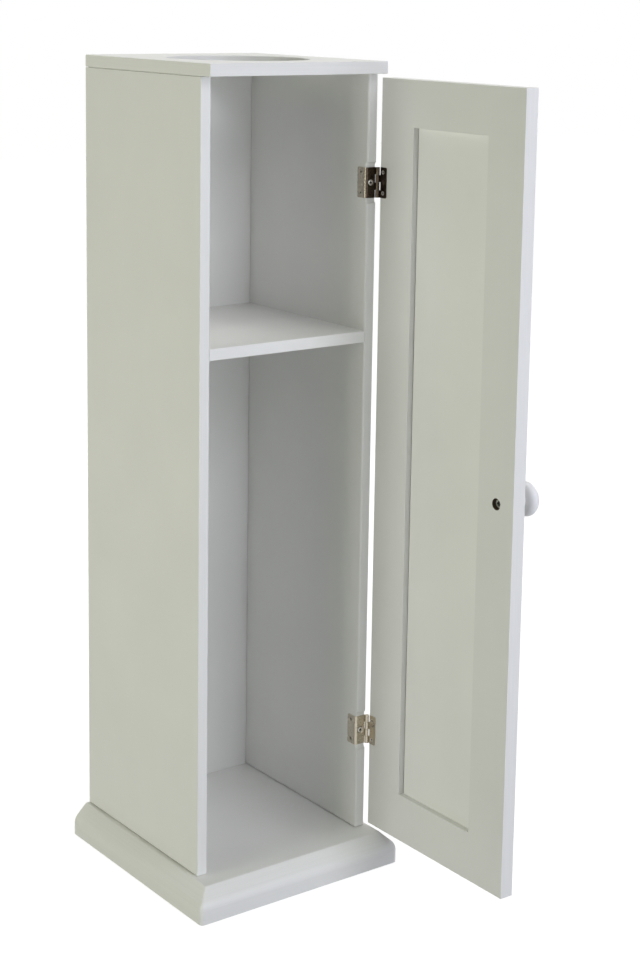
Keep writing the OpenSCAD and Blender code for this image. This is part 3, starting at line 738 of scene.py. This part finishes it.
class CABINET_OT_top(bpy.types.Operator):
    """Makes the top with its round opening"""
    bl_idname = "cabinet.top"
    bl_label = "Top"

    def execute(self, context):
        size = context.scene.cabinet_boards
        low, high = box_of("top_panel")
        front = box_of("side_left")[0][1]
        middle = np.array([0.0, front + size.opening_back])
        turn = quarter(6)
        edge_in, edge_up = size.edge * (1 - np.sin(turn)), size.edge * (1 - np.cos(turn))
        inset = np.concatenate([edge_in, edge_in[::-1]])
        outer_z = np.concatenate([high[2] - edge_up, low[2] + edge_up[::-1]])
        radii = np.repeat(np.clip(size.edge - inset, HAIR, None)[:, None], 4, axis=1)
        outline = rounded_rings(low[:2] + inset[:, None], high[:2] - inset[:, None], radii, 6, 48)
        # Rays from the opening's middle to the outline carry the rings of the opening
        ray = outline[len(turn)] - middle
        ray /= np.linalg.norm(ray, axis=1)[:, None]
        rim_out, rim_up = size.rim * (1 - np.sin(turn)), size.rim * (1 - np.cos(turn))
        wide = size.opening / 2 + np.concatenate([rim_out, rim_out[::-1]])
        inner_z = np.concatenate([low[2] + rim_up, high[2] - rim_up[::-1]])
        opening = middle + wide[:, None, None] * ray
        rows = np.concatenate([opening, outline])
        height = np.concatenate([inner_z, outer_z])[:, None, None]
        rings = np.concatenate([rows, np.broadcast_to(height, (*rows.shape[:2], 1))], axis=2)
        new_piece("top_board", [quads_of(rings, wrap=True, loop=True)], finish("paint on flat boards"),
                  CABINET, ["top_panel"])
        return {"FINISHED"}


class CABINET_OT_door(bpy.types.Operator):
    """Makes the door's stiles and rails, and the panel between them"""
    bl_idname = "cabinet.door"
    bl_label = "Door"

    def execute(self, context):
        size = context.scene.cabinet_boards
        paint = finish("paint on door")
        top, bottom = box_of("door_rail_top"), box_of("door_rail_bottom")
        panel_low, panel_high = bottom[1][2], top[0][2]

        def stile_radii(inner):
            """The corners at the panel are eased only between the rails, and the others everywhere."""
            def radii(z):
                beside_panel = (z > panel_low) & (z < panel_high)
                eased = np.where(beside_panel, size.door_edge, HAIR)
                full = np.full(len(z), size.door_edge)
                return np.stack([eased if corner in inner else full for corner in range(4)], axis=1)
            return radii

        rows = [panel_low - HAIR, panel_low + HAIR, panel_high - HAIR, panel_high + HAIR]
        # Sections run (x, y) up a stile and (z, x) along a rail: corners 0 and 3 are at low y or low x
        hinge_side = swept_board(box_of("door_stile_hinge"), 2, stile_radii((0, 3)), size.door_edge,
                                 rows=rows)
        new_piece("hinge_stile", [hinge_side], paint, DOOR, ["door_stile_hinge"],
                  bores=screw_bores(("door",)), lining=finish("bare MDF"))
        knob_side = swept_board(box_of("door_stile_knob"), 2, stile_radii((1, 2)), size.door_edge,
                                rows=rows)
        new_piece("knob_stile", [knob_side], paint, DOOR, ["door_stile_knob"],
                  bores=self.knob_bore(context), lining=finish("bare MDF"))
        between_stiles = [box_of("door_stile_knob")[1][1], box_of("door_stile_hinge")[0][1]]
        for name, node, box in (("upper_rail", "door_rail_top", top),
                                ("lower_rail", "door_rail_bottom", bottom)):
            for corner, y in zip(box, between_stiles):
                corner[1] = y
            rail = swept_board(box, 1, even(size.door_edge))
            new_piece(name, [rail], paint, DOOR, [node])
        # The panel has settled on the lower rail, so its shadow gap is at the sides and the top
        low, high = box_of("door_panel")
        gap, tongue = size.panel_gap, size.panel_tongue
        middle = (low[0] + high[0]) / 2
        field = [np.array([low[0], between_stiles[0] + gap / 2, panel_low]),
                 np.array([high[0], between_stiles[1] - gap, panel_high - gap])]
        slab = [np.array([middle - tongue / 2, *low[1:]]), np.array([middle + tongue / 2, *high[1:]])]
        panel = [swept_board(box, 2, even(size.panel_edge), size.panel_edge) for box in (field, slab)]
        new_piece("panel_board", panel, finish("paint on door panel"), DOOR,
                  ["door_panel"])
        return {"FINISHED"}

    def knob_bore(self, context):
        """The counterbore for the knob's screw in the inner face, and its narrow hole beyond."""
        size = context.scene.cabinet_knob
        low, high = box_of("door_stile_knob")
        middle = np.mean(box_of("knob"), axis=0)
        middle[0] = low[0]
        through = high[0] - low[0] + 1 * MM
        profile = [(0, -1 * MM), (size.bore / 2, -1 * MM), (size.bore / 2, size.bore_depth),
                   (size.screw_hole / 2, size.bore_depth), (size.screw_hole / 2, through), (0, through)]
        return [revolve(profile, middle, X, steps=64)]


class CABINET_OT_knob(bpy.types.Operator):
    """Makes the turned knob"""
    bl_idname = "cabinet.knob"
    bl_label = "Knob"

    def execute(self, context):
        size = context.scene.cabinet_knob
        low, high = box_of("knob")
        out = high[0] - low[0]
        radius = (high[2] - low[2]) / 2
        rim_at, rim_out = radius - size.rim, out - size.dome
        lead = size.dome - size.rim
        dome_radius = size.rim + (rim_at ** 2 + lead ** 2) / (2 * lead)
        meet = 90 - math.degrees(math.asin(rim_at / (dome_radius - size.rim)))
        back = rim_out - size.rim
        foot_turn = size.foot / 2 - size.waist / 2
        waist = np.concatenate([
            arc((size.foot / 2, size.foot_height + foot_turn), foot_turn, 270, 180, 12),
            arc((size.waist / 2 + size.neck, back - size.neck), size.neck, 180, 90, 8),
        ])
        # The screw's hole ends 0.2 mm beyond its tip
        hole, grip = size.screw_hole / 2, box_of("knob_screw")[1][0] + 0.2 * MM - low[0]
        eased = size.foot / 2 - size.foot_edge
        profile = np.concatenate([
            [(0, grip), (hole, grip), (hole, 0), (eased, 0)],
            arc((eased, size.foot_edge), size.foot_edge, -90, 0, 4)[1:],
            waist,
            arc((rim_at, rim_out), size.rim, -90, meet, 24),
            arc((0, out - dome_radius), dome_radius, meet, 90, 16)[1:],
        ])
        middle = np.mean([low, high], axis=0)
        middle[0] = low[0]
        new_piece("turned_knob", [revolve(profile, middle, X, steps=96)],
                  finish("satin lacquer on turned wood"), DOOR, ["knob"])
        return {"FINISHED"}


class CABINET_OT_hinges(bpy.types.Operator):
    """Bends the leaves of both hinges from sheet, with their knuckles rolled round the pins"""
    bl_idname = "cabinet.hinges"
    bl_label = "Hinges"

    def execute(self, context):
        for place in ("upper", "lower"):
            middle = np.mean(box_of(f"hinge_{place}_pin"), axis=0)
            self.cabinet_leaf(context, place, middle)
            self.door_leaf(context, place, middle)
        return {"FINISHED"}

    def knuckle_bands(self, half, play, first):
        """The heights of every second of four knuckles, from the top."""
        each = half / 2
        tops = [half - k * each for k in (first, first + 2)]
        return [(top - each + play / 2, top - play / 2) for top in tops]

    def leaf(self, name, middle, half, start, heading, pieces, plate_end, notch_at, first, bores):
        """One leaf: a flat pattern of plate and knuckles, bent along its path and moved to its hinge."""
        size = bpy.context.scene.cabinet_hinges
        total = sum(run for run, _ in pieces)
        corner = size.corner * (1 - np.cos(quarter(6)))
        bands = self.knuckle_bands(half, size.play, first)
        # The grid's lines along the path and up the leaf, rounded so that equal ones count once
        s = np.unique(np.round(np.concatenate([
            corner, np.linspace(size.corner, notch_at, 64), np.linspace(notch_at, plate_end, 5),
            np.linspace(plate_end, total, 37)]), 9))
        z = np.unique(np.round(np.concatenate([
            np.linspace(-half, half, 21), np.ravel(bands)]), 9))
        mid_s, mid_z = (s[:-1] + s[1:]) / 2, (z[:-1] + z[1:]) / 2
        in_bands = np.any([(mid_z > low) & (mid_z < high) for low, high in bands], axis=0)
        kept = (mid_s < notch_at)[:, None] | in_bands[None, :]

        def carry(flat_s, flat_z, w):
            """Rounds the two free corners, then bends the sheet along its path."""
            short = size.corner - np.sqrt(np.clip(
                size.corner ** 2 - np.clip(size.corner - flat_s, 0, None) ** 2, 0, None))
            border = half - size.corner
            past = np.clip(np.abs(flat_z) - border, 0, None) * short / size.corner
            across = bend_along(start, heading, pieces, flat_s, w)
            up = flat_z - np.sign(flat_z) * past
            return middle + np.concatenate([across, up[..., None]], axis=-1)

        shell = sheet_shell(s, z, kept, size.sheet, carry)
        body = CABINET if "cabinet" in name else DOOR
        return new_piece(name + "_sheet", [shell], finish("dull nickel plate"), body,
                         [name], bores, finish("dull nickel plate"), size.burr)

    def cabinet_leaf(self, context, place, middle):
        """The wrap flange inside the cabinet, the bend, the front flange and the roll."""
        size = context.scene.cabinet_hinges
        name = f"hinge_{place}_cabinet_leaf"
        low, high = box_of(name)
        half, t = (high[2] - low[2]) / 2, size.sheet
        roll_radius = high[0] - middle[0] - t / 2
        flange_x = low[0] + t / 2 - middle[0]
        front_y = roll_radius
        tip_y = high[1] - middle[1]
        wrap_run = tip_y - front_y - size.bend
        front_run = -flange_x - size.bend
        pieces = [(wrap_run, 0.0), (size.bend * math.pi / 2, math.pi / 2), (front_run, 0.0),
                  (roll_radius * size.roll, -size.roll)]
        plate_end = sum(run for run, _ in pieces[:3])
        self.leaf(name, middle, half, (flange_x, tip_y), -math.pi / 2, pieces, plate_end,
                  plate_end - size.cabinet_notch, 0, countersinks(place, ("edge", "wrap")))

    def door_leaf(self, context, place, middle):
        """One flat plate on the door's inner face, and the roll."""
        size = context.scene.cabinet_hinges
        name = f"hinge_{place}_door_leaf"
        low, high = box_of(name)
        half, t = (high[2] - low[2]) / 2, size.sheet
        roll_radius = high[0] - middle[0] - t / 2
        plate = middle[1] - low[1]
        pieces = [(plate, 0.0), (roll_radius * size.roll, size.roll)]
        self.leaf(name, middle, half, (roll_radius, -plate), math.pi / 2, pieces, plate,
                  plate - size.door_notch, 1, countersinks(place, ("door",)))


def hinge_screws():
    """(hinge, kind, middle of the head's face, axis into the board, length) of every hinge screw, read
    from the frame's groups of screws. A group's screws lie one above the other, with gaps of more than
    3 mm between them."""
    found = []
    for kind, axis in (("edge", Y), ("wrap", X), ("door", X)):
        points = np.array([v.co for v in frame["nodes"][f"hinge_{kind}_screws"].data.vertices])
        heights = np.sort(points[:, 2])
        breaks = np.flatnonzero(np.diff(heights) > 3 * MM)
        limits = [heights[0], *((heights[breaks] + heights[breaks + 1]) / 2), heights[-1]]
        for low, high in zip(limits[:-1], limits[1:]):
            screw = points[(points[:, 2] >= low) & (points[:, 2] <= high)]
            middle = (screw.min(axis=0) + screw.max(axis=0)) / 2
            k = int(np.argmax(axis))
            middle[k] = screw[:, k].min()
            place = "upper" if middle[2] > PIN[2] else "lower"
            found.append((place, kind, middle, axis, np.ptp(screw[:, k])))
    return found


def countersinks(hinge, kinds):
    """The cones that a hinge leaf's screw heads sit in, from just in front of the sheet to its back."""
    size = bpy.context.scene.cabinet_screws
    sheet = bpy.context.scene.cabinet_hinges.sheet
    cones = []
    for place, kind, middle, axis, _ in hinge_screws():
        if place == hinge and kind in kinds:
            wide = (size.edge_sink if kind == "edge" else size.leaf_sink) / 2
            past = 0.2 * MM
            profile = [(0, -past), (wide + past, -past), (wide, 0), (wide - sheet, sheet),
                       (wide - sheet, sheet + past), (0, sheet + past)]
            cones.append(revolve(profile, middle, axis, steps=48))
    return cones


def screw_bores(kinds):
    """The holes in the boards behind the hinge leaves: cones round the heads, then narrow shafts."""
    size = bpy.context.scene.cabinet_screws
    sheet = bpy.context.scene.cabinet_hinges.sheet
    bores = []
    for _, kind, middle, axis, reach in hinge_screws():
        if kind in kinds:
            shaft = SHANKS[kind] / 2 + size.bore_play
            mouth = size.edge_sink / 2 - sheet if kind == "edge" else (size.leaf_head - sheet) / 2
            start, end = sheet - 0.1 * MM, reach + size.bore_play
            profile = [(0, start), (mouth, start), (mouth, sheet), (shaft, sheet + mouth - shaft),
                       (shaft, end), (0, end)]
            bores.append(revolve(profile, middle, axis, steps=32))
    return bores


def screw_surface(middle, axis, head, shank, reach, dome):
    """A countersunk screw as one surface of revolution. Its head's face is a shallow dome, sunk by the
    cross recess: with p and q the larger and smaller of |x| and |y|, the depth is D (1 - p / 2L)
    within q < w and p < L, and rises to the face over a narrow wall."""
    size = bpy.context.scene.cabinet_screws
    steps = 128
    r = np.concatenate([np.linspace(0, 0.9, 37), [0.96, 1.0]]) * head / 2
    t = np.linspace(0, 2 * np.pi, steps, endpoint=False)
    x, y = np.abs(r[:, None] * np.cos(t)), np.abs(r[:, None] * np.sin(t))
    p, q = np.maximum(x, y), np.minimum(x, y)
    span, width = size.slot_length * head / 2, size.slot_width * head / 2
    wall = 0.05 * head
    inside = np.clip((width + wall - q) / wall, 0, 1) * np.clip((span - p) / wall, 0, 1)
    recess = size.slot_depth * head * (1 - p / (2 * span)) * inside
    crown = dome * (1 - (2 * r / head) ** 2)
    # Under the face come the head's upright edge, its cone, the shank and a tip as long as it is wide
    cone = (head - shank) / 2
    lip = 0.12 * MM
    below = np.array([(head / 2, lip), (shank / 2, lip + cone), (shank / 2, reach - shank),
                      (shank / 8, reach - shank / 8), (0, reach)])
    profile = np.concatenate([np.stack([r, -crown], axis=1), below])
    sink = -np.concatenate([recess, np.zeros((len(below), steps))])
    return revolve(profile, middle, axis, steps, sink)


class CABINET_OT_screws(bpy.types.Operator):
    """Makes the screws of the hinges and of the knob, with their cross recesses"""
    bl_idname = "cabinet.screws"
    bl_label = "Screws"

    def execute(self, context):
        size = context.scene.cabinet_screws
        kinds = {"edge": (CABINET, "zinc"), "wrap": (CABINET, "nickel"), "door": (DOOR, "zinc")}
        for kind, shank in SHANKS.items():
            head = size.edge_head if kind == "edge" else size.leaf_head
            crown = size.edge_crown if kind == "edge" else size.leaf_crown
            sink = size.head_sink
            quads = [screw_surface(middle + sink * axis, axis, head, shank, reach - sink, crown)
                     for _, found, middle, axis, reach in hinge_screws() if found == kind]
            body, plate = kinds[kind]
            new_piece(f"{kind}_screws", quads, finish(f"{plate} plate on {kind} screws"), body,
                      [f"hinge_{kind}_screws"])
        low, high = box_of("knob_screw")
        middle = np.mean([low, high], axis=0)
        middle[0] = low[0] + size.pan_crown
        pan = screw_surface(middle, X, high[2] - low[2], size.pan_shank, high[0] - middle[0],
                            size.pan_crown)
        new_piece("knob_pan_screw", [pan], finish("zinc plate on knob screw"), DOOR,
                  ["knob_screw"])
        return {"FINISHED"}


class CABINET_OT_inner_fittings(bpy.types.Operator):
    """Gives the hinge pins, base screws and dowels, whose shapes stay as they are, their finishes"""
    bl_idname = "cabinet.inner_fittings"
    bl_label = "Inner fittings"

    def execute(self, context):
        finishes = {
            "hinge_upper_pin": "dull nickel plate",
            "hinge_lower_pin": "dull nickel plate",
            "base_screws": "zinc plate on base screws",
            "base_dowels": "bare beech, upright",
            "top_dowels": "bare beech, upright",
            "shelf_dowels": "bare beech, crosswise",
            "back_dowels": "bare beech, crosswise",
        }
        for node, name in finishes.items():
            materials = frame["nodes"][node].data.materials
            materials.clear()
            materials.append(finish(name))
        return {"FINISHED"}


# ---- Stage ----


# Name, place, watts and tint of every soft box
LAMPS = (
    ("front box", (0.34, -1.93, 0.62), 12.6, "#eff4ff"),
    ("high front box", (0.34, -2.30, 1.95), 20.5, "#f4f4ff"),
    ("right box", (1.45, -1.45, 1.78), 2.6, "#ffffff"),
    ("low front box", (0.85, -2.35, 0.52), 4.6, "#dfdfff"),
    ("low left box", (-2.49, 0.0, 0.53), 18.4, "#fffdff"),
    ("near left box", (-1.27, 0.0, 0.60), 2.7, "#f2ffb8"),
    ("top box", (0.3, 0.3, 2.3), 14.0, "#fffefa"),
    ("back box", (0.4, 2.3, 1.2), 8.0, "#ffffff"),
    ("far right box", (2.3, 0.5, 0.9), 6.0, "#ffffff"),
)
# The side of a soft box, where the boxes point, and how far the floor reaches to each side
BOX_SIDE = 1.0
AIM = np.array([0.0, 0.0, 0.35])
FLOOR_REACH = 6.0


class CABINET_OT_stage(bpy.types.Operator):
    """Sets up the floor, the soft studio light and the camera"""
    bl_idname = "cabinet.stage"
    bl_label = "Stage"

    def execute(self, context):
        size = context.scene.cabinet_stage
        self.floor(context, size)
        self.surroundings(context, size)
        for lamp in LAMPS:
            self.lamp(context, *lamp)
        self.camera(context, size)
        context.scene.view_settings.view_transform = "Standard"
        return {"FINISHED"}

    def seen_directly(self, tree):
        """1 for rays from the camera, from glossy surfaces and through glass, and 0 for others."""
        ray = add(tree, "LightPath").outputs
        either = add(tree, "Math", {0: ray["Is Camera Ray"], 1: ray["Is Glossy Ray"]},
                     operation="MAXIMUM").outputs[0]
        return add(tree, "Math", {0: either, 1: ray["Is Transmission Ray"]},
                   operation="MAXIMUM").outputs[0]

    def seen_or_hidden(self, tree, kind, seen, hidden):
        """Ends a tree with one shader for what is seen directly and another for the light it gives."""
        shader = add(tree, "MixShader", {0: self.seen_directly(tree), 1: hidden.outputs[0],
                                         2: seen.outputs[0]})
        add(tree, "Output" + kind, {"Surface": shader.outputs[0]})

    def floor(self, context, size):
        """A wide flat floor. What is seen of it is white, with the cabinet's faint shadow."""
        reach = FLOOR_REACH
        corners = [(-reach, -reach, 0), (reach, -reach, 0), (reach, reach, 0), (-reach, reach, 0)]
        mesh = bpy.data.meshes.new("floor")
        mesh.from_pydata(corners, [], [(0, 1, 2, 3)])
        floor = bpy.data.objects.new("floor", mesh)
        # Just below the base, so that the two don't share a plane
        floor.location.z = -0.2 * MM
        context.scene.collection.objects.link(floor)
        material, tree, place = new_material("pale studio floor")
        white = linear("#ffffff")
        # Near the cabinet the glow leaves room for the shadow, and from 0.9 m away it is white alone
        away = add(tree, "VectorMath", {0: place}, operation="LENGTH").outputs["Value"]
        clear = add(tree, "MapRange", {"Value": away, "From Min": 0.3, "From Max": 0.9}).outputs[0]
        bright = add(tree, "Mix", {0: clear, 2: 1.0 - size.shadow / 3, 3: 1.0}).outputs[0]
        hidden = add(tree, "BsdfDiffuse", {"Color": shade(white, size.floor_tone)})
        shaded = add(tree, "BsdfDiffuse", {"Color": shade(white, size.shadow)})
        glow = add(tree, "Emission", {"Color": white, "Strength": bright})
        seen = add(tree, "AddShader", {0: shaded.outputs[0], 1: glow.outputs[0]})
        self.seen_or_hidden(tree, "Material", seen, hidden)
        mesh.materials.append(material)

    def surroundings(self, context, size):
        """White where it is seen, and a soft light from all round on the object."""
        world = bpy.data.worlds.new("studio")
        world.use_nodes = True
        tree = world.node_tree
        tree.nodes.clear()
        light = add(tree, "Background", {"Color": tuple(size.ambient), "Strength": size.ambient_power})
        white = add(tree, "Background", {"Color": linear("#ffffff"), "Strength": 1.0})
        self.seen_or_hidden(tree, "World", white, light)
        context.scene.world = world

    def lamp(self, context, name, place, power, tint):
        """A square soft box that faces the cabinet's middle and isn't itself seen."""
        data = bpy.data.lights.new(name, "AREA")
        data.size, data.energy, data.color = BOX_SIDE, power, linear(tint)[:3]
        lamp = bpy.data.objects.new(name, data)
        lamp.matrix_world = look(np.array(place), AIM - np.array(place))
        lamp.visible_camera = False
        context.scene.collection.objects.link(lamp)

    def camera(self, context, size):
        """The photograph's viewpoint."""
        az, el = size.azimuth, size.elevation
        forward = np.array([-math.sin(az) * math.cos(el), math.cos(az) * math.cos(el), -math.sin(el)])
        data = bpy.data.cameras.new("camera")
        data.lens, data.sensor_width, data.shift_y = size.focal, 36.0, size.shift
        data.clip_start, data.clip_end = 0.01, 100.0
        camera = bpy.data.objects.new("camera", data)
        camera.matrix_world = look(np.array(size.camera_place), forward, size.roll)
        context.scene.collection.objects.link(camera)
        context.scene.camera = camera


def look(place, forward, roll=0.0):
    """The matrix of a lamp or camera at a place that looks forward, leaning by roll."""
    forward = forward / np.linalg.norm(forward)
    right = np.cross(forward, Z)
    right = right / np.linalg.norm(right) if np.linalg.norm(right) > WELD else X
    up = np.cross(right, forward)
    lean_right = math.cos(roll) * right + math.sin(roll) * up
    lean_up = math.cos(roll) * up - math.sin(roll) * right
    matrix = np.eye(4)
    matrix[:3, 0], matrix[:3, 1], matrix[:3, 2], matrix[:3, 3] = lean_right, lean_up, -forward, place
    return mathutils.Matrix(matrix.tolist())


SETTINGS = {
    "cabinet_finishes": CABINET_PG_finishes,
    "cabinet_boards": CABINET_PG_boards,
    "cabinet_knob": CABINET_PG_knob,
    "cabinet_hinges": CABINET_PG_hinges,
    "cabinet_screws": CABINET_PG_screws,
    "cabinet_stage": CABINET_PG_stage,
}
STEPS = (CABINET_OT_stage, CABINET_OT_base, CABINET_OT_sides, CABINET_OT_back_and_shelf, CABINET_OT_top,
         CABINET_OT_door, CABINET_OT_knob, CABINET_OT_hinges, CABINET_OT_screws,
         CABINET_OT_inner_fittings)


class CABINET_PT_sidebar(bpy.types.Panel):
    """Lists the cabinet's settings and the steps that make it"""
    bl_idname = "CABINET_PT_sidebar"
    bl_label = "Bathroom cabinet"
    bl_space_type = "VIEW_3D"
    bl_region_type = "UI"
    bl_category = "Cabinet"

    def draw(self, context):
        for name, group in SETTINGS.items():
            column = self.layout.box().column()
            for setting in group.__annotations__:
                column.prop(getattr(context.scene, name), setting)
        for step in STEPS:
            self.layout.operator(step.bl_idname)


CLASSES = (*SETTINGS.values(), *STEPS, CABINET_PT_sidebar)


def register():
    for new_class in CLASSES:
        bpy.utils.register_class(new_class)
    for name, group in SETTINGS.items():
        setattr(bpy.types.Scene, name, bpy.props.PointerProperty(type=group))


def unregister():
    for name in SETTINGS:
        delattr(bpy.types.Scene, name)
    for old_class in reversed(CLASSES):
        bpy.utils.unregister_class(old_class)


def main():
    register()
    for step in STEPS:
        family, name = step.bl_idname.split(".")
        getattr(getattr(bpy.ops, family), name)()


if __name__ == "__main__":
    main()
